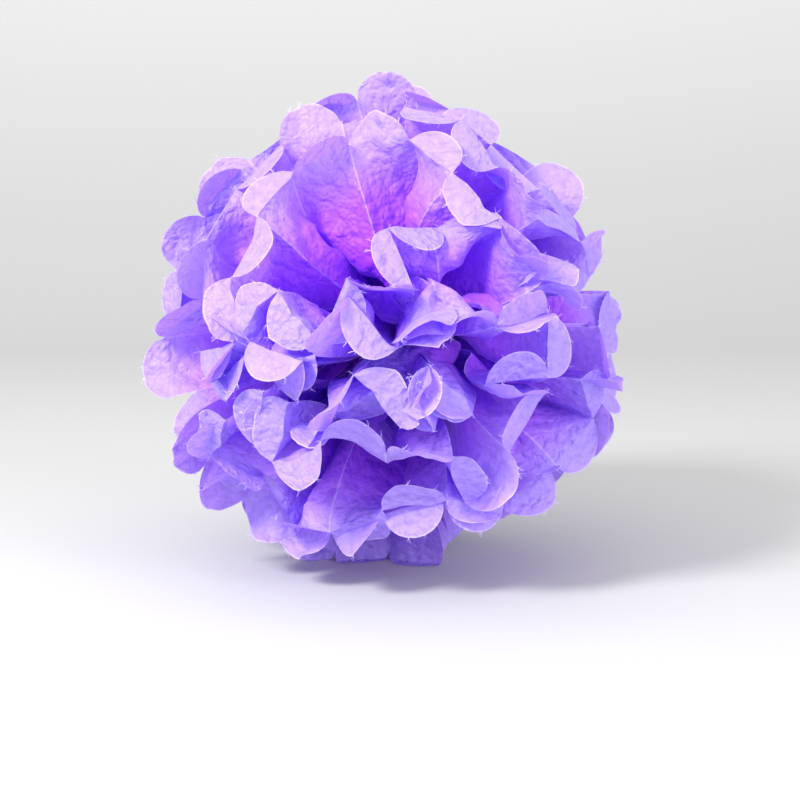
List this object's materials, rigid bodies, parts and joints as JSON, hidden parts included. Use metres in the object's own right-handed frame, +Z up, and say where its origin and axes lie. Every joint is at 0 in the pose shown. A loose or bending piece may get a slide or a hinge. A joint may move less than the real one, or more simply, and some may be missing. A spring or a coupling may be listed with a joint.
{
  "type": "tissue paper pom pom",
  "caption": "Ball of pleated tissue paper sheets with scalloped ends, pinched at the waist by a twisted wire and pulled open into a flower.",
  "frame": {"origin": "on the surface that the ball rests on, under the middle of its box", "axes": "+Z up; the flower's front pole faces -Y; +X to the right seen from the front, the ball's widest direction"},
  "size_m": [0.3486, 0.3346, 0.3335],
  "materials": {
    "tissue": "matte, thin and translucent",
    "wire": "plain florist's wire"
  },
  "bodies": {
    "root": {"tissue_sheet_01": "tissue", "tissue_sheet_02": "tissue", "tissue_sheet_03": "tissue", "tissue_sheet_04": "tissue", "tissue_sheet_05": "tissue", "tissue_sheet_06": "tissue", "tissue_sheet_07": "tissue", "tissue_sheet_08": "tissue", "tissue_sheet_09": "tissue", "tissue_sheet_10": "tissue", "tie_wire": "wire"}
  },
  "joints": []
}
